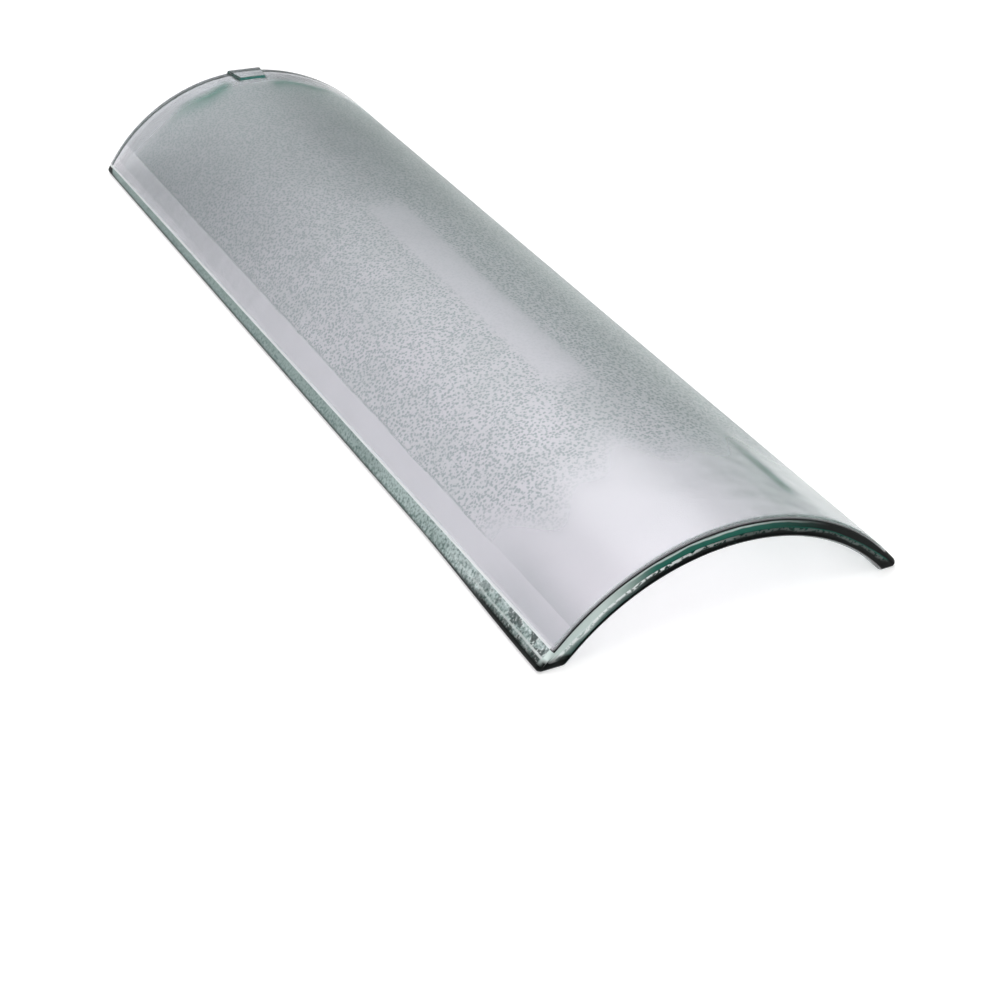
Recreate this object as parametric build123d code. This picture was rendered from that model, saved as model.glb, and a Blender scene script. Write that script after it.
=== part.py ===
from build123d import *
from math import radians, tan
import os

os.makedirs("parts", exist_ok=True)

# Axes: +Y runs up the roof from the narrow end to the wide end, +Z points out of the roof.
# The tile lies on its two long feet, origin under the middle of its bounding box.

# Whole tile, in millimetres
tile_length = 520.0
wide_end_width = 170.0
narrow_end_width = 140.0
wide_end_crown_height = 51.0
narrow_end_crown_height = 37.0

# Glass section: the arch, then steeper sides below it, then the feet
crown_thickness = 8.7
foot_width = 7.6
foot_trim = 2.0
wide_end_side_height = 5.0
narrow_end_side_height = 7.7
wide_end_side_slope = 62.0
narrow_end_side_slope = 52.0

# Rounded edges of the pressed glass
foot_outer_radius = 2.0
foot_inner_radius = 2.0
end_edge_radius = 1.5

# Lug on the crown, flush with the wide end and narrower at its front
lug_back_width = 20.0
lug_front_width = 15.0
lug_length = 18.0
lug_rise = 1.0
lug_root_depth = 4.0
lug_corner_radius = 0.8

half_length = tile_length / 2


def section_face(width, crown_height, side_height, side_slope, y_position):
    """Cross-section of the barrel at one end: outer arch, steep sides, inner arch, feet left long."""
    slope = radians(side_slope)
    # The sharp corner lies beyond the width that is left once the foot's outer edge is rounded
    corner_x = width / 2 + foot_outer_radius * (1 / tan(slope / 2) - 1)
    arch_half_width = corner_x - side_height / tan(slope)
    foot_inner_x = width / 2 - foot_width
    inner_crown_height = crown_height - crown_thickness
    arch_left = (-arch_half_width, side_height)
    arch_right = (arch_half_width, side_height)
    outer_arch = ThreePointArc(arch_left, (0, crown_height), arch_right)
    inner_arch = ThreePointArc((foot_inner_x, 0), (0, inner_crown_height), (-foot_inner_x, 0))
    right_foot = Polyline(
        arch_right,
        (corner_x, 0),
        (corner_x, -foot_trim),
        (foot_inner_x, -foot_trim),
        (foot_inner_x, 0),
    )
    left_foot = mirror(right_foot, Plane.YZ)
    outline = Curve() + [outer_arch, right_foot, inner_arch, left_foot]
    return (Plane.XZ.offset(-y_position) * make_face(outline)).face()


def long_foot_edges(solid, inner):
    """The two long edges of the flat feet, on the inside of the arch or on the outside."""
    feet = solid.faces().filter_by(Axis.Z).group_by(Axis.Z)[0]
    edges = []
    for foot in feet:
        by_distance = foot.edges().sort_by(lambda edge: abs(edge.center().X))
        long_edges = [edge for edge in by_distance if edge.length > tile_length / 2]
        edges.append(long_edges[0] if inner else long_edges[-1])
    return edges


# Tapered barrel, with its feet cut to one level
narrow_end = section_face(
    narrow_end_width,
    narrow_end_crown_height,
    narrow_end_side_height,
    narrow_end_side_slope,
    -half_length,
)
wide_end = section_face(
    wide_end_width,
    wide_end_crown_height,
    wide_end_side_height,
    wide_end_side_slope,
    half_length,
)
barrel = loft([narrow_end, wide_end], ruled=True)
block_align = (Align.CENTER, Align.CENTER, Align.MAX)
trimming_block = Box(2 * wide_end_width, 2 * tile_length, 2 * foot_trim, align=block_align)
barrel = barrel - trimming_block
barrel = fillet(long_foot_edges(barrel, inner=False), foot_outer_radius)
barrel = fillet(long_foot_edges(barrel, inner=True), foot_inner_radius)
end_faces = barrel.faces().filter_by(Axis.Y)
barrel = fillet(end_faces.edges(), end_edge_radius)

# Lug
lug_top = wide_end_crown_height + lug_rise
lug_bottom = wide_end_crown_height - lug_root_depth
lug_front = half_length - lug_length
lug_plan = Polyline(
    (-lug_back_width / 2, half_length),
    (lug_back_width / 2, half_length),
    (lug_front_width / 2, lug_front),
    (-lug_front_width / 2, lug_front),
    close=True,
)
lug = Pos(0, 0, lug_bottom) * extrude(make_face(lug_plan), lug_top - lug_bottom, dir=(0, 0, 1))
lug_top_edges = lug.faces().sort_by(Axis.Z)[-1].edges()
lug = fillet(lug_top_edges, lug_corner_radius)
tile = barrel + lug

print("valid", tile.is_valid, "volume cm3", tile.volume / 1000, "solids", len(tile.solids()))
export_step(tile, "parts/glass_tile.step")
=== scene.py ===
import math

import bpy
import numpy as np
from mathutils import Matrix, Vector


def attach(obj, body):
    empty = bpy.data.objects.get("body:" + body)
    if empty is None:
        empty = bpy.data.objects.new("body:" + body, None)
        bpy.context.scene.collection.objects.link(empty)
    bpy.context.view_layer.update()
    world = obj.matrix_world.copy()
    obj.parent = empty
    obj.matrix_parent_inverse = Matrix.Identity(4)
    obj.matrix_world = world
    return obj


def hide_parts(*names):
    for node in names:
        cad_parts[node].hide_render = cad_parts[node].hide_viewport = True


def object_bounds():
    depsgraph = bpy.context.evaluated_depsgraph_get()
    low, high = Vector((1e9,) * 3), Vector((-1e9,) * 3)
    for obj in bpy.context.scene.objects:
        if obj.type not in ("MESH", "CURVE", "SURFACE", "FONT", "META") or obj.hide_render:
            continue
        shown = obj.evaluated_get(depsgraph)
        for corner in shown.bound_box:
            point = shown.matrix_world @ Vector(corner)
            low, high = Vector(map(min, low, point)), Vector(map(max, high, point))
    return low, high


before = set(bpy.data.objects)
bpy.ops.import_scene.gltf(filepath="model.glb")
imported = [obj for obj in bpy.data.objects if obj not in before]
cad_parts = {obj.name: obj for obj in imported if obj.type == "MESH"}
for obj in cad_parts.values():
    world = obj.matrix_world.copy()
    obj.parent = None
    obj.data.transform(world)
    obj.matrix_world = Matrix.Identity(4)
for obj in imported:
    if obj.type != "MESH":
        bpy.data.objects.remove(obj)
cad_low, cad_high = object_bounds()

MM = 0.001

# Tile, in millimetres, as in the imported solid
LENGTH = (cad_high.y - cad_low.y) / MM
WIDE_WIDTH = 170.0
NARROW_WIDTH = 140.0
WIDE_CROWN_HEIGHT = 51.0
NARROW_CROWN_HEIGHT = 37.0
WIDE_SIDE_HEIGHT = 5.0
NARROW_SIDE_HEIGHT = 7.7
WIDE_SIDE_SLOPE = 62.0
NARROW_SIDE_SLOPE = 52.0
CROWN_THICKNESS = 8.7
FOOT_WIDTH = 7.6
FOOT_OUTER_RADIUS = 2.0
FOOT_INNER_RADIUS = 2.0
RIDGE_RADIUS = 0.5
LEAST_RIDGE_RADIUS = 0.05
END_EDGE_RADIUS = 1.5
LUG_BACK_WIDTH = 20.0
LUG_FRONT_WIDTH = 15.0
LUG_LENGTH = 18.0
LUG_RISE = 1.0
LUG_CORNER_RADIUS = 0.8
LUG_DRAFT = 0.08

# Clear zones beside the stippled one, in millimetres
LONG_MARGIN = 10.8
NARROW_MARGIN = 55.0
WIDE_MARGIN = 28.0
STRIP_PLACE = -2.0
STRIP_HALF_WIDTH = 8.0
STRIP_LENGTH = 190.0
STRIP_MIDDLE = -58.0
STRIP_SMOOTHNESS = 0.8
NARROW_FADE = 15.0
WIDE_FADE = 6.0

# Small irregularities of the pressing, and places of drawn lines and of the painted shade along the feet
INNER_SHIFT = 1.8
HEEL_REACH = 2.1
HEEL_LENGTH = 100.0
SEAM_RIDGE = 0.4
SEAM_ROW = 14
LAST_SIDE_ROW = 13
EDGE_ROWS = 22
RIM_LINE_PLACE = 5.0
# Depth of a painted highlight line along the side near the narrow end
SIDE_HIGHLIGHT_DEPTH = 0.355
# Painted shade along the feet: how much higher it reaches at the narrow end, and over what length
FOOT_SHADE_RISE = 1.8
FOOT_SHADE_LENGTH = 90.0
WAVE_HEIGHT = 0.06
BULGE_REACH = 16.0

# Mesh density
ARCH_STEPS = 44
SIDE_STEPS = 4
CORNER_STEPS = 5
FOOT_STEPS = 2
RING_SPACING = 1.8
END_STEPS = 5
TURN_STEPS = 4
LUG_TOP_STEPS = 5

# Scales of the noise in the material, per metre
PIT_SCALE = 740.0
GRAIN_SCALE = 1500.0
CLOUD_SCALE = 38.0
SWELL_SCALE = 45.0
SPECK_SCALE = 900.0
CHIP_SCALE = 240.0
SEAM_SPECK_SCALE = 700.0
LINE_WOBBLE_SCALE = 60.0
BAND_WOBBLE_SCALE = 90.0

# Glass
GLASS_IOR = 1.52
CLEAR_ROUGHNESS = 0.26
STIPPLED_ROUGHNESS = 0.34
EDGE_ROUGHNESS = 0.6
SIDE_OPACITY = 0.45
SOLID_OPACITY = 0.70
SWELL_SHARE = 3.0
BUMP_DISTANCE = 0.0001
ABSORPTION_DENSITY = 17.0

# Light
KEY_POWER = 49.5
BACK_POWER = 21.0
FILL_POWER = 19.5
SKY_LOW = 0.31
SKY_HIGH = 0.46
FLOOR_LIFT = 0.25


def circle_through(half_width, low, high):
    """Radius and centre height of the arch that stands on +-half_width at low and peaks at high."""
    rise = high - low
    radius = (half_width ** 2 + rise ** 2) / (2 * rise)
    return radius, high - radius


def rounded_corner(before, corner, after, radius, steps):
    """Points of an arc of that radius that rounds the corner between two straight directions."""
    into = (corner - before) / np.linalg.norm(corner - before)
    out = (after - corner) / np.linalg.norm(after - corner)
    turn = math.acos(np.clip(np.dot(into, out), -1, 1))
    reach = radius * math.tan(turn / 2)
    side = np.array([-into[1], into[0]])
    if np.dot(side, out) < 0:
        side = -side
    centre = corner - into * reach + side * radius
    start = corner - into * reach - centre
    angle = turn if into[0] * out[1] - into[1] * out[0] > 0 else -turn
    points = []
    for step in range(steps + 1):
        a = angle * step / steps
        spin = np.array([[math.cos(a), -math.sin(a)], [math.sin(a), math.cos(a)]])
        points.append(centre + spin @ start)
    return np.array(points)


def line_meets_circle(point, direction, radius, centre):
    """Where a line that starts inside the arch's circle, centred on the axis, leaves it."""
    offset = point - np.array([0, centre])
    along = np.dot(offset, direction)
    return point + direction * (-along + math.sqrt(along ** 2 - np.dot(offset, offset) + radius ** 2))


def arch_tangent(point, centre):
    """Direction along the arch from a point towards the crown."""
    direction = np.array([-(point[1] - centre), point[0]])
    return direction / np.linalg.norm(direction)


def lug_half_width(y):
    """Half the lug's width at a place along it; it narrows towards its front."""
    share = np.clip((y - LENGTH / 2) / LUG_LENGTH + 1, 0, 1)
    return (LUG_FRONT_WIDTH * (1 - share) + LUG_BACK_WIDTH * share) / 2


def lug_stops(y):
    """Arc distances from the crown that hold the lug's flat top, rounded edge and side."""
    half_width = lug_half_width(y)
    flat_top = list(np.linspace(0, half_width - LUG_CORNER_RADIUS, LUG_TOP_STEPS))
    turns = []
    for step in range(1, TURN_STEPS + 1):
        angle = math.pi / 2 * step / TURN_STEPS
        turns.append(half_width - LUG_CORNER_RADIUS * (1 - math.sin(angle)))
    return flat_top + turns + [half_width + LUG_DRAFT]


def arch(end, radius, centre, y):
    """Right half of an arch, from the crown to its end."""
    length = radius * math.atan2(end[0], end[1] - centre)
    stops = lug_stops(y)
    distances = np.array(stops + list(np.linspace(stops[-1], length, ARCH_STEPS + 1)[1:]))
    angles = distances / radius
    return np.stack([radius * np.sin(angles), centre + radius * np.cos(angles)], axis=1)


def half_profile(width, crown_height, side_height, side_slope, inset, y):
    """Right half of one cross-section, inset all round, as outer arch, edge and inner arch points."""
    slope = math.radians(side_slope)
    corner_x = width / 2 + FOOT_OUTER_RADIUS * (1 / math.tan(slope / 2) - 1)
    arch_half_width = corner_x - side_height / math.tan(slope)
    outer_radius, outer_centre = circle_through(arch_half_width, side_height, crown_height)
    foot_inner_x = width / 2 - FOOT_WIDTH
    inner_radius, inner_centre = circle_through(foot_inner_x, 0, crown_height - CROWN_THICKNESS)
    outer_radius -= inset
    inner_radius += inset
    foot_outer = np.array([corner_x - inset * (1 + math.cos(slope)) / math.sin(slope), inset])
    up_the_side = np.array([-math.cos(slope), math.sin(slope)])
    ridge = line_meets_circle(foot_outer, up_the_side, outer_radius, outer_centre)
    foot_inner = np.array([math.sqrt(inner_radius ** 2 - (inset - inner_centre) ** 2), inset])
    before_ridge = ridge + arch_tangent(ridge, outer_centre)
    after_foot = foot_inner + arch_tangent(foot_inner, inner_centre)
    ridge_radius = max(RIDGE_RADIUS - inset, LEAST_RIDGE_RADIUS)
    ridge_arc = rounded_corner(before_ridge, ridge, foot_outer, ridge_radius, CORNER_STEPS)
    outer_arc = rounded_corner(ridge, foot_outer, foot_inner, FOOT_OUTER_RADIUS - inset, CORNER_STEPS)
    inner_arc = rounded_corner(foot_outer, foot_inner, after_foot, FOOT_INNER_RADIUS - inset, CORNER_STEPS)
    side = np.linspace(ridge_arc[-1], outer_arc[0], SIDE_STEPS + 1)[1:-1]
    foot = np.linspace(outer_arc[-1], inner_arc[0], FOOT_STEPS + 1)[1:-1]
    edge = np.vstack([ridge_arc, side, outer_arc, foot, inner_arc])
    outer = arch(edge[0], outer_radius, outer_centre, y)
    inner = arch(edge[-1], inner_radius, inner_centre, y)
    return outer, edge, inner


def profile_block(inset, y):
    """Cross-section as a block of points: rows through the glass by columns across the arch."""
    share = y / LENGTH + 0.5
    narrow_sizes = NARROW_WIDTH, NARROW_CROWN_HEIGHT, NARROW_SIDE_HEIGHT, NARROW_SIDE_SLOPE
    wide_sizes = WIDE_WIDTH, WIDE_CROWN_HEIGHT, WIDE_SIDE_HEIGHT, WIDE_SIDE_SLOPE
    narrow = half_profile(*narrow_sizes, inset, y)
    wide = half_profile(*wide_sizes, inset, y)
    outer, edge, inner = [a * (1 - share) + b * share for a, b in zip(narrow, wide)]
    run = np.concatenate([[0], np.cumsum(np.linalg.norm(np.diff(edge, axis=0), axis=1))])
    depth = (run / run[-1])[:, None, None]
    block = outer[None] * (1 - depth) + inner[None] * depth
    bulge = edge[:, None] - block[:, -1:]
    near_edge = np.clip(1 - (outer[-1, 0] - outer[:, 0]) / BULGE_REACH, 0, 1) ** 2
    block = block + bulge * near_edge[None, :, None]
    left = block[:, :0:-1] * np.array([-1, 1])
    block = np.concatenate([left, block], axis=1)
    block[:, :, 0] += INNER_SHIFT * (1 - share) * depth[:, :, 0]
    return block


def lug_inside(x, y):
    """Distance of a point inside the lug's outline, seen from above."""
    return np.minimum(lug_half_width(y) - np.abs(x), y - (LENGTH / 2 - LUG_LENGTH))


def lug_height(x, y, inset):
    """Height of the lug's surface over a point, or a low value beside the lug."""
    inside = lug_inside(x, y)
    if inside < 0:
        return -math.inf
    top = WIDE_CROWN_HEIGHT + LUG_RISE - inset
    short = max(LUG_CORNER_RADIUS - inside, 0)
    return top - LUG_CORNER_RADIUS + math.sqrt(LUG_CORNER_RADIUS ** 2 - short ** 2)


def ring_places():
    """Places of the rings along the tile, with their inset at the rounded ends."""
    ends = []
    for step in range(END_STEPS + 1):
        angle = math.pi / 2 * step / END_STEPS
        ends.append((END_EDGE_RADIUS * (1 - math.cos(angle)), END_EDGE_RADIUS * (1 - math.sin(angle))))
    lug_front = LENGTH / 2 - LUG_LENGTH
    body = list(np.arange(-LENGTH / 2 + END_EDGE_RADIUS + RING_SPACING, lug_front - 0.5, RING_SPACING))
    body += [lug_front - LUG_DRAFT]
    for step in range(TURN_STEPS + 1):
        angle = math.pi / 2 * step / TURN_STEPS
        body.append(lug_front + LUG_CORNER_RADIUS * (1 - math.cos(angle)))
    lug_body = lug_front + LUG_CORNER_RADIUS + 1
    body += list(np.arange(lug_body, LENGTH / 2 - END_EDGE_RADIUS - 0.5, RING_SPACING))
    near = [(-LENGTH / 2 + back, inset) for back, inset in ends]
    far = [(LENGTH / 2 - back, inset) for back, inset in reversed(ends)]
    return near + [(y, 0.0) for y in body] + far


def tile_mesh():
    """The pressed tile as one closed mesh."""
    rings = ring_places()
    vertices = []
    marks = []
    faces = []
    loops = []
    rows, columns = profile_block(0, 0).shape[:2]
    row_depth = np.linspace(0, 1, rows)
    border = [(0, c) for c in range(columns)]
    border += [(r, columns - 1) for r in range(1, rows)]
    border += [(rows - 1, c) for c in range(columns - 2, -1, -1)]
    border += [(r, 0) for r in range(rows - 2, 0, -1)]
    for y, inset in rings:
        block = profile_block(inset, y)
        loop = []
        for r, c in border:
            x, z = block[r, c]
            if r == 0:
                z = max(z, lug_height(x, y, inset))
            loop.append(len(vertices))
            vertices.append((x, y, z))
            on_side = 1.0 if c in (0, columns - 1) and r <= LAST_SIDE_ROW else 0.0
            on_rim = np.clip(3 * inset / END_EDGE_RADIUS - 0.6, 0, 1) if y < 0 else 0.0
            marks.append((row_depth[r], max(on_side, on_rim), 0.0 if inset == 0 else 1.0))
        loops.append((loop, block))
    count = len(border)
    for (low, _), (high, _) in zip(loops, loops[1:]):
        for i in range(count):
            j = (i + 1) % count
            faces.append((low[i], low[j], high[j], high[i]))
    ridge = 1 - np.clip(np.abs(np.arange(rows) - SEAM_ROW) / 1.5, 0, 1)
    for (loop, block), (y, _), near in ((loops[0], rings[0], True), (loops[-1], rings[-1], False)):
        grid = np.zeros((rows, columns), dtype=int)
        for index, (r, c) in zip(loop, border):
            grid[r, c] = index
        for r in range(1, rows - 1):
            for c in range(1, columns - 1):
                grid[r, c] = len(vertices)
                sunk = SEAM_RIDGE * (1 - ridge[r]) * (1 if near else -1)
                vertices.append((block[r, c, 0], y + sunk, block[r, c, 1]))
                marks.append((row_depth[r], 1.0 if near else 0.0, 1.0))
        for r in range(rows - 1):
            for c in range(columns - 1):
                face = (grid[r, c], grid[r, c + 1], grid[r + 1, c + 1], grid[r + 1, c])
                faces.append(face[::-1] if near else face)
    return irregular(np.array(vertices), np.array(marks)), np.array(marks), faces


def irregular(vertices, marks):
    """The points with the heel at one corner and soft waves in the pressed surfaces."""
    x, y, z = vertices.T.copy()
    depth, edge, end = marks.T
    along = y + LENGTH / 2
    heel = HEEL_REACH * (1 - ramp(along, 0, HEEL_LENGTH)) * (1 - ramp(z, 1, 9)) * (1 - ramp(x, -70, -58))
    inside = ramp(np.minimum(along, LENGTH / 2 - y), 4, 20)
    inside *= ramp(WIDE_WIDTH / 2 - np.abs(x), 18, 40) * (1 - edge)
    inside *= 1 - ramp(y, LENGTH / 2 - 30, LENGTH / 2 - 22)
    phase = np.where(depth < 0.5, 0.0, 2.0)
    across = np.sin(x / 5.3 + 1.7 * np.sin(y / 31 + phase) + phase)
    wave = across * np.sin(y / 17 + 1.3 * np.sin(x / 13 + phase))
    wave += np.sin(y / 9.1 + 2.1 * np.sin(x / 9 + phase)) * 0.5
    return np.stack([x - heel, y, np.maximum(z + WAVE_HEIGHT * wave * inside, 0)], axis=1)


def ramp(value, low, high):
    """0 below low, 1 above high, smooth between them."""
    t = np.clip((value - low) / (high - low), 0, 1)
    return t * t * (3 - 2 * t)


def stipple_zone(vertices, depth):
    """How stippled the glass is at each point: not at the ends or along the crown."""
    x, y, z = vertices.T
    uneven = 7 * np.sin(x / 8.5) + 5 * np.sin(x / 3.7 + 1)
    narrow_end = ramp(y + LENGTH / 2 + uneven, NARROW_MARGIN - NARROW_FADE, NARROW_MARGIN + NARROW_FADE)
    wide_end = ramp(LENGTH / 2 - y, WIDE_MARGIN - WIDE_FADE, WIDE_MARGIN + WIDE_FADE)
    across_strip = 1 - ramp(np.abs(x - STRIP_PLACE), STRIP_HALF_WIDTH - 1, STRIP_HALF_WIDTH + 3)
    along_strip = 1 - ramp(np.abs(y - STRIP_MIDDLE), STRIP_LENGTH / 2 - 12, STRIP_LENGTH / 2 + 12)
    on_strip = across_strip * along_strip
    return narrow_end * wide_end * (1 - STRIP_SMOOTHNESS * on_strip) * (1 - depth)


def inboard_distance(vertices):
    """Distance from the nearer long edge, seen from above."""
    share = vertices[:, 1] / LENGTH + 0.5
    return (NARROW_WIDTH * (1 - share) + WIDE_WIDTH * share) / 2 - np.abs(vertices[:, 0])


def pale_zone(vertices):
    """Where the narrow end's face is lit from the side and looks pale."""
    x, y, z = vertices.T
    return (1 - ramp(x, -50, -28)) * (1 - ramp(y, -LENGTH / 2 + 2, -LENGTH / 2 + 8))


def painted_end_shade(vertices):
    """Painted shade: where the end faces look into the length of the glass and turn nearly black."""
    return ramp(vertices[:, 0], 0, 40)


def painted_foot_shade(vertices):
    """Painted shade: the dark band along the feet, which widens towards the narrow end."""
    x, y, z = vertices.T
    top = 2.5 + FOOT_SHADE_RISE * (1 - ramp(y, -LENGTH / 2, -LENGTH / 2 + FOOT_SHADE_LENGTH))
    top += 3 * ramp(y, LENGTH / 2 - 11, LENGTH / 2 - 6)
    return 1 - ramp(z, top - 0.5, top + 0.5)


def shade_zone(vertices):
    """Where the glass looks darker: towards the wide end and at the near left corner."""
    x, y, z = vertices.T
    far = ramp(y, -40, 240) * (1 - 0.6 * ramp(x, 15, 45))
    corner = 0.8 * ramp(-x, 48, 60) * ramp(-y, 190, 235)
    return np.maximum(far, corner)


def lug_zone(vertices, depth):
    """The lug: strongest on its sides and rounded edges, weaker on its top."""
    inside = lug_inside(vertices[:, 0], vertices[:, 1])
    sides = ramp(inside, -1.9, -0.1) * (1 - ramp(inside, 0.3, 1.0))
    return np.maximum(sides, 0.15 * ramp(inside, 0, 0.5)) * (depth == 0)


def smear_zone(vertices):
    """Green smears beside the crown near the wide end, and one along the right of the narrow end."""
    x, y, z = vertices.T
    back = LENGTH / 2 - y - 4 * np.sin(x / 14) - 3 * np.sin(x / 5 + 1)
    beside_crown = (1 - ramp(np.abs(x), 30, 58)) * ramp(np.abs(x + 3), 8, 14)
    far_smear = np.exp(-((back - 26) / 6) ** 2) * beside_crown
    groove = np.exp(-((x - 36) / 3) ** 2) * ramp(y, -246, -236) * (1 - ramp(y, -225, -185))
    return np.maximum(far_smear, groove)


def store(piece, name, values):
    layer = piece.data.attributes.new(name, "FLOAT", "POINT")
    layer.data.foreach_set("value", np.ascontiguousarray(values, dtype=np.float32))


def new_object(name, vertices, faces):
    mesh = bpy.data.meshes.new(name)
    mesh.from_pydata([tuple(v) for v in vertices], [], [tuple(int(i) for i in f) for f in faces])
    mesh.validate()
    mesh.update()
    for polygon in mesh.polygons:
        polygon.use_smooth = True
    piece = bpy.data.objects.new(name, mesh)
    bpy.context.scene.collection.objects.link(piece)
    return piece


def attribute(tree, name):
    node = tree.nodes.new("ShaderNodeAttribute")
    node.attribute_name = name
    return node.outputs["Fac"]


def noise(tree, scale, detail=1.0):
    place = tree.nodes.new("ShaderNodeTexCoord")
    node = tree.nodes.new("ShaderNodeTexNoise")
    node.inputs["Scale"].default_value = scale
    node.inputs["Detail"].default_value = detail
    tree.links.new(place.outputs["Object"], node.inputs["Vector"])
    return node.outputs["Fac"]


def pit_distance(tree, scale):
    """Distance to the nearest pit of the stipple, in pit spacings."""
    place = tree.nodes.new("ShaderNodeTexCoord")
    node = tree.nodes.new("ShaderNodeTexVoronoi")
    node.inputs["Scale"].default_value = scale
    tree.links.new(place.outputs["Object"], node.inputs["Vector"])
    return node.outputs["Distance"]


def remap(tree, value, from_min, from_max, to_min, to_max):
    node = tree.nodes.new("ShaderNodeMapRange")
    node.inputs["From Min"].default_value = from_min
    node.inputs["From Max"].default_value = from_max
    node.inputs["To Min"].default_value = to_min
    node.inputs["To Max"].default_value = to_max
    tree.links.new(value, node.inputs["Value"])
    return node.outputs["Result"]


def combine(tree, operation, first, second):
    node = tree.nodes.new("ShaderNodeMath")
    node.operation = operation
    for socket, value in zip(node.inputs, (first, second)):
        if isinstance(value, float):
            socket.default_value = value
        else:
            tree.links.new(value, socket)
    return node.outputs[0]


def mix_colours(tree, share, first, second, blend="MIX"):
    node = tree.nodes.new("ShaderNodeMix")
    node.data_type = "RGBA"
    node.blend_type = blend
    for socket, value in ((node.inputs[0], share), (node.inputs[6], first), (node.inputs[7], second)):
        if isinstance(value, float):
            socket.default_value = value
        elif isinstance(value, tuple):
            socket.default_value = (*value, 1)
        else:
            tree.links.new(value, socket)
    return node.outputs[2]


def colour_ramp(tree, value, stops):
    node = tree.nodes.new("ShaderNodeValToRGB")
    tree.links.new(value, node.inputs["Fac"])
    elements = node.color_ramp.elements
    while len(elements) < len(stops):
        elements.new(1.0)
    for element, (position, colour) in zip(elements, stops):
        element.position = position
        element.color = (*colour, 1)
    return node.outputs["Color"]


BLACK_GREEN = (0.0004, 0.0010, 0.0009)
DEEP_GREEN = (0.0020, 0.0350, 0.0250)
BOTTLE_GREEN = (0.0100, 0.1150, 0.0820)
PALE_GREEN = (0.70, 0.80, 0.77)
CLEAR_LIGHT = (0.91, 0.83, 0.90)
CLEAR_DARK = (0.79, 0.75, 0.79)
PAINTED_FLANK_LIGHT = (0.98, 0.93, 0.98)
SMEAR_GREEN = (0.08, 0.22, 0.18)
PIT_GREY = (0.34, 0.37, 0.39)
PAINTED_SHADE_GREY = (0.60, 0.57, 0.62)
LUG_GREEN = (0.0020, 0.0350, 0.0260)
RIM_GREY = (0.12, 0.15, 0.15)
SIDE_DARK = (0.10, 0.16, 0.15)
SIDE_LIGHT = (0.52, 0.61, 0.60)
GLINT = (0.92, 0.96, 0.95)
ABSORPTION_GREEN = (0.36, 0.735, 0.62)
SHADOW_GREY = (0.44, 0.425, 0.425)
FULL_SHINE = (1.0, 1.0, 1.0)
FLANK_SHINE = (0.75, 0.75, 0.75)
EDGE_SHINE = (0.08, 0.08, 0.08)


def thin_line(tree, place, middle, half_width, strength):
    """A thin broken line where a distance is at its middle value."""
    wobble = remap(tree, noise(tree, LINE_WOBBLE_SCALE, 2.0), 0.3, 0.7, -half_width, half_width)
    from_middle = combine(tree, "SUBTRACT", combine(tree, "ADD", place, wobble), middle)
    off_line = combine(tree, "ABSOLUTE", from_middle, 0.0)
    line = remap(tree, off_line, half_width, 2 * half_width, 1.0, 0.0)
    return combine(tree, "MULTIPLY", line, strength)


def end_face_colour(tree):
    """Bands through the thickness at the ends: dark edges, green glass and painted white glints along the
    parting seam; painted shade turns the right part nearly black and painted light makes the left part
    pale.
    """
    wobble = remap(tree, noise(tree, BAND_WOBBLE_SCALE, 2.0), 0.3, 0.7, -0.03, 0.03)
    depth = combine(tree, "ADD", attribute(tree, "depth"), wobble)
    green = colour_ramp(tree, depth, [
        (0.00, BLACK_GREEN), (0.12, DEEP_GREEN), (0.22, DEEP_GREEN), (0.28, PALE_GREEN),
        (0.32, BOTTLE_GREEN), (0.50, BOTTLE_GREEN), (0.62, DEEP_GREEN), (0.74, BLACK_GREEN)])
    dark = colour_ramp(tree, depth, [
        (0.00, BLACK_GREEN), (0.42, BLACK_GREEN), (0.50, DEEP_GREEN), (0.58, BOTTLE_GREEN),
        (0.66, DEEP_GREEN), (0.72, BLACK_GREEN)])
    pale = colour_ramp(tree, depth, [
        (0.00, BLACK_GREEN), (0.08, BLACK_GREEN), (0.13, PALE_GREEN), (0.62, PALE_GREEN),
        (0.76, SIDE_DARK), (0.90, BOTTLE_GREEN), (0.95, BLACK_GREEN)])
    # Painted shade: the right part of the end faces turns nearly black
    bands = mix_colours(tree, attribute(tree, "dark"), green, dark)
    bands = mix_colours(tree, attribute(tree, "pale"), bands, pale)
    seam_depth = SEAM_ROW / (EDGE_ROWS - 1)
    off_seam = combine(tree, "ABSOLUTE", combine(tree, "SUBTRACT", depth, seam_depth), 0.0)
    on_seam = remap(tree, off_seam, 0.025, 0.06, 1.0, 0.0)
    # Painted glints: white specks along the parting seam, strongest towards the left
    glint_specks = remap(tree, noise(tree, SEAM_SPECK_SCALE, 2.0), 0.42, 0.50, 0.0, 1.0)
    glint_strength = remap(tree, attribute(tree, "seam"), 0.0, 1.0, 0.10, 1.0)
    bright = combine(tree, "MULTIPLY", on_seam, glint_strength)
    return mix_colours(tree, combine(tree, "MULTIPLY", bright, glint_specks), bands, GLINT)


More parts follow.
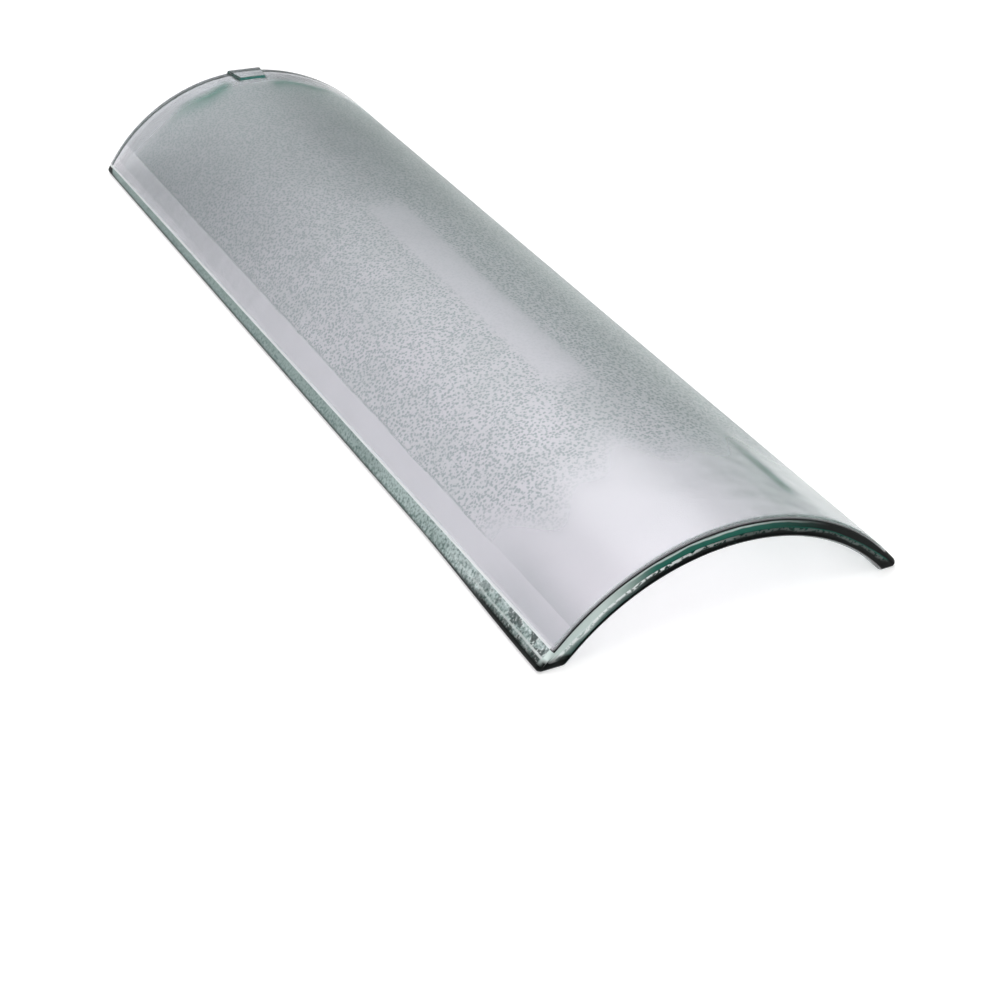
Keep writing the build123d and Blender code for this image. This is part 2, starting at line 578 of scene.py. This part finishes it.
def side_colour(tree):
    """Long edges: a painted highlight along the ridge, a mottled grey side and a black foot, with painted
    glints and a painted bright line near the narrow end.
    """
    speck = noise(tree, SPECK_SCALE, 3.0)
    rise = remap(tree, attribute(tree, "rise"), 0.0, 1.0, -0.12, 0.06)
    mottle = remap(tree, combine(tree, "ADD", speck, rise), 0.38, 0.60, 0.0, 1.0)
    mottled = mix_colours(tree, mottle, SIDE_DARK, SIDE_LIGHT)
    # Painted shade: the side darkens towards the wide end
    mottled = mix_colours(tree, attribute(tree, "painted_side_shade"), mottled, SIDE_DARK)
    heel = attribute(tree, "heel")
    chip = remap(tree, noise(tree, CHIP_SCALE, 3.0), 0.46, 0.51, 0.0, 1.0)
    side = mix_colours(tree, combine(tree, "MULTIPLY", chip, heel), mottled, BLACK_GREEN)
    # Painted glints: white specks on the side near the narrow end's corner
    glint = remap(tree, speck, 0.58, 0.62, 0.0, 1.0)
    side = mix_colours(tree, combine(tree, "MULTIPLY", glint, heel), side, GLINT)
    depth = attribute(tree, "depth")
    # Painted highlight: a thin bright line along the side near the narrow end
    side = mix_colours(tree, thin_line(tree, depth, SIDE_HIGHLIGHT_DEPTH, 0.008, heel), side, GLINT)
    # Painted highlight: the top of the side along the ridge is white
    side = mix_colours(tree, remap(tree, depth, 0.22, 0.24, 0.0, 1.0), GLINT, side)
    return side


def glass_material():
    """Pressed glass: grey through its thickness, bottle green along its edges, finely stippled."""
    material = bpy.data.materials.new("pressed_glass")
    material.use_nodes = True
    tree = material.node_tree
    nodes, links = tree.nodes, tree.links
    shader = nodes["Principled BSDF"]
    output = nodes["Material Output"]
    shader.inputs["IOR"].default_value = GLASS_IOR
    edge = attribute(tree, "edge")
    inboard = attribute(tree, "inboard")
    stippled = remap(tree, inboard, LONG_MARGIN - 0.15, LONG_MARGIN + 0.15, 0.0, 1.0)
    stipple = combine(tree, "MULTIPLY", attribute(tree, "stipple"), stippled)
    outside = combine(tree, "SUBTRACT", 1.0, attribute(tree, "depth"))
    roughened = remap(tree, noise(tree, GRAIN_SCALE, 2.0), 0.3, 0.7, -0.22, 0.22)
    pits = combine(tree, "ADD", pit_distance(tree, PIT_SCALE), roughened)
    clouds = remap(tree, noise(tree, CLOUD_SCALE, 3.0), 0.38, 0.62, 0.0, 1.0)
    cloudy = combine(tree, "MULTIPLY", clouds, stipple)
    body = mix_colours(tree, cloudy, CLEAR_LIGHT, CLEAR_DARK)
    # Painted light: the right flank is made lighter
    body = mix_colours(tree, attribute(tree, "painted_light_flank"), body, PAINTED_FLANK_LIGHT)
    # Painted shade: darker glass towards the wide end and at the near left corner
    shade = combine(tree, "MULTIPLY", attribute(tree, "shade"), stippled)
    body = mix_colours(tree, shade, body, PAINTED_SHADE_GREY)
    body = mix_colours(tree, attribute(tree, "smear"), body, SMEAR_GREEN)
    body = mix_colours(tree, attribute(tree, "lug"), body, LUG_GREEN)
    in_pit = combine(tree, "MULTIPLY", remap(tree, pits, 0.32, 0.56, 1.0, 0.0), stipple)
    dots = remap(tree, roughened, -0.08, 0.04, 0.0, 1.0)
    dotted = combine(tree, "MULTIPLY", dots, attribute(tree, "stipple"))
    border = thin_line(tree, inboard, LONG_MARGIN, 0.22, dotted)
    rim = thin_line(tree, attribute(tree, "back"), RIM_LINE_PLACE, 0.8, outside)
    body = mix_colours(tree, combine(tree, "MAXIMUM", in_pit, border), body, PIT_GREY)
    body = mix_colours(tree, rim, body, RIM_GREY)
    edges = mix_colours(tree, attribute(tree, "end"), side_colour(tree), end_face_colour(tree))
    # Painted shade: the feet are painted black-green
    edges = mix_colours(tree, attribute(tree, "foot"), edges, BLACK_GREEN)
    # Painted light: the wide end's edges above the side are painted white
    at_wide_end = remap(tree, attribute(tree, "back"), 5.0, 10.0, 1.0, 0.0)
    above_side = remap(tree, attribute(tree, "rise"), 0.9, 1.0, 0.0, 1.0)
    edges = mix_colours(tree, combine(tree, "MULTIPLY", at_wide_end, above_side), edges, GLINT)
    links.new(mix_colours(tree, edge, body, edges), shader.inputs["Base Color"])
    tint = mix_colours(tree, attribute(tree, "painted_light_flank"), FULL_SHINE, FLANK_SHINE)
    links.new(mix_colours(tree, edge, tint, EDGE_SHINE), shader.inputs["Specular Tint"])
    solid = combine(tree, "MAXIMUM", attribute(tree, "end"), attribute(tree, "foot"))
    opacity = remap(tree, solid, 0.0, 1.0, SIDE_OPACITY, SOLID_OPACITY)
    opaque = combine(tree, "MULTIPLY", edge, opacity)
    links.new(combine(tree, "SUBTRACT", 1.0, opaque), shader.inputs["Transmission Weight"])
    roughness = remap(tree, stipple, 0.0, 1.0, CLEAR_ROUGHNESS, STIPPLED_ROUGHNESS)
    edge_roughness = combine(tree, "MULTIPLY", edge, EDGE_ROUGHNESS)
    links.new(combine(tree, "MAXIMUM", roughness, edge_roughness), shader.inputs["Roughness"])
    bump = nodes.new("ShaderNodeBump")
    bump.inputs["Distance"].default_value = BUMP_DISTANCE
    swell = combine(tree, "MULTIPLY", noise(tree, SWELL_SCALE, 2.0), SWELL_SHARE)
    relief = combine(tree, "ADD", combine(tree, "MULTIPLY", pits, stipple), swell)
    links.new(relief, bump.inputs["Height"])
    links.new(bump.outputs["Normal"], shader.inputs["Normal"])
    absorb = nodes.new("ShaderNodeVolumeAbsorption")
    absorb.inputs["Color"].default_value = (*ABSORPTION_GREEN, 1)
    absorb.inputs["Density"].default_value = ABSORPTION_DENSITY
    links.new(absorb.outputs["Volume"], output.inputs["Volume"])
    passing = nodes.new("ShaderNodeBsdfTransparent")
    passing.inputs["Color"].default_value = (*SHADOW_GREY, 1)
    path = nodes.new("ShaderNodeLightPath")
    mix = nodes.new("ShaderNodeMixShader")
    links.new(path.outputs["Is Shadow Ray"], mix.inputs[0])
    links.new(shader.outputs[0], mix.inputs[1])
    links.new(passing.outputs[0], mix.inputs[2])
    links.new(mix.outputs[0], output.inputs["Surface"])
    return material


def floor_material():
    """White floor that keeps the tile's shadow."""
    material = bpy.data.materials.new("white_floor")
    material.use_nodes = True
    nodes, links = material.node_tree.nodes, material.node_tree.links
    shader = nodes["Principled BSDF"]
    shader.inputs["Base Color"].default_value = (0.9, 0.9, 0.9, 1)
    shader.inputs["Roughness"].default_value = 0.9
    shader.inputs["Specular IOR Level"].default_value = 0.0
    path = nodes.new("ShaderNodeLightPath")
    seen = nodes.new("ShaderNodeMath")
    seen.operation = "MAXIMUM"
    links.new(path.outputs["Is Camera Ray"], seen.inputs[0])
    links.new(path.outputs["Is Glossy Ray"], seen.inputs[1])
    through = nodes.new("ShaderNodeMath")
    through.operation = "MAXIMUM"
    links.new(seen.outputs[0], through.inputs[0])
    links.new(path.outputs["Is Transmission Ray"], through.inputs[1])
    lift = nodes.new("ShaderNodeMath")
    lift.operation = "MULTIPLY"
    lift.inputs[1].default_value = FLOOR_LIFT
    links.new(through.outputs[0], lift.inputs[0])
    shader.inputs["Emission Color"].default_value = (1, 1, 1, 1)
    links.new(lift.outputs[0], shader.inputs["Emission Strength"])
    return material


def area_light(name, place, target, size, power):
    data = bpy.data.lights.new(name, "AREA")
    data.shape = "RECTANGLE"
    data.size, data.size_y = size
    data.energy = power
    lamp = bpy.data.objects.new(name, data)
    lamp.location = place
    lamp.rotation_mode = "QUATERNION"
    lamp.rotation_quaternion = (Vector(target) - Vector(place)).to_track_quat("-Z", "Y")
    bpy.context.scene.collection.objects.link(lamp)
    return lamp


def make_camera():
    data = bpy.data.cameras.new("camera")
    focal_pixels = 1546.0
    image_pixels = 1000.0
    axis_row = 374.0
    data.sensor_width = 36.0
    data.lens = focal_pixels / image_pixels * data.sensor_width
    data.shift_y = (axis_row - image_pixels / 2) / image_pixels
    data.clip_start = 0.01
    camera = bpy.data.objects.new("camera", data)
    yaw, pitch, roll = math.radians(26.14), math.radians(27.12), math.radians(-0.55)
    level = math.cos(pitch)
    forward = Vector((math.sin(yaw) * level, math.cos(yaw) * level, -math.sin(pitch)))
    right = Vector((math.cos(yaw), -math.sin(yaw), 0))
    down = forward.cross(right)
    right_rolled = right * math.cos(roll) + down * math.sin(roll)
    up_rolled = right * math.sin(roll) - down * math.cos(roll)
    turn = Matrix((right_rolled, up_rolled, -forward)).transposed()
    place = (-0.255, -0.606, 0.3075)
    camera.matrix_world = Matrix.Translation(place) @ turn.to_4x4()
    bpy.context.scene.collection.objects.link(camera)
    bpy.context.scene.camera = camera


def make_stage():
    size = 4.0
    corners = [(-size, -size, 0), (size, -size, 0), (size, size, 0), (-size, size, 0)]
    floor = new_object("floor", corners, [(0, 1, 2, 3)])
    floor.data.materials.append(floor_material())
    world = bpy.data.worlds.new("studio")
    world.use_nodes = True
    bpy.context.scene.world = world
    nodes, links = world.node_tree.nodes, world.node_tree.links
    background = nodes["Background"]
    background.inputs["Color"].default_value = (1, 1, 1, 1)
    place = nodes.new("ShaderNodeTexCoord")
    split = nodes.new("ShaderNodeSeparateXYZ")
    links.new(place.outputs["Generated"], split.inputs[0])
    height = remap(world.node_tree, split.outputs["Z"], 0.1, 0.6, SKY_LOW, SKY_HIGH)
    links.new(height, background.inputs["Strength"])
    area_light("key", (-1.2, -0.3, 3.0), (0, 0, 0), (2.4, 2.4), KEY_POWER)
    area_light("back", (0.3, 1.5, 2.4), (0, 0, 0), (1.9, 1.4), BACK_POWER)
    area_light("fill", (-1.5, -2.0, 1.2), (0, 0, 0), (1.5, 1.5), FILL_POWER)


tile_vertices, tile_marks, tile_faces = tile_mesh()
glass_tile = new_object("pressed_glass_tile", tile_vertices * MM, tile_faces)
store(glass_tile, "stipple", stipple_zone(tile_vertices, tile_marks[:, 0]))
store(glass_tile, "depth", tile_marks[:, 0])
store(glass_tile, "edge", tile_marks[:, 1])
store(glass_tile, "end", tile_marks[:, 2])
store(glass_tile, "pale", pale_zone(tile_vertices))
# How strong the painted glints on the seam are: strongest towards the left
store(glass_tile, "seam", 1 - ramp(tile_vertices[:, 0], -30, 5))
# Painted shade on the right part of the end faces
store(glass_tile, "dark", painted_end_shade(tile_vertices))
store(glass_tile, "lug", lug_zone(tile_vertices, tile_marks[:, 0]))
store(glass_tile, "smear", smear_zone(tile_vertices))
store(glass_tile, "shade", shade_zone(tile_vertices))
# Painted light on the right flank
store(glass_tile, "painted_light_flank", ramp(tile_vertices[:, 0], 0, 35))
# Painted shade along the feet
store(glass_tile, "foot", painted_foot_shade(tile_vertices))
store(glass_tile, "inboard", inboard_distance(tile_vertices))
store(glass_tile, "back", LENGTH / 2 - tile_vertices[:, 1])
store(glass_tile, "rise", np.clip(tile_vertices[:, 2] / WIDE_SIDE_HEIGHT, 0, 1))
# Painted shade on the sides towards the wide end
store(glass_tile, "painted_side_shade", 0.5 * ramp(tile_vertices[:, 1] + LENGTH / 2, 60, 200))
store(glass_tile, "heel", 0.8 * (1 - ramp(tile_vertices[:, 1] + LENGTH / 2, 5, 80)))
glass_tile.data.materials.append(glass_material())
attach(glass_tile, "root")
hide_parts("glass_tile")

make_camera()
make_stage()
bpy.context.scene.view_settings.view_transform = "Standard"
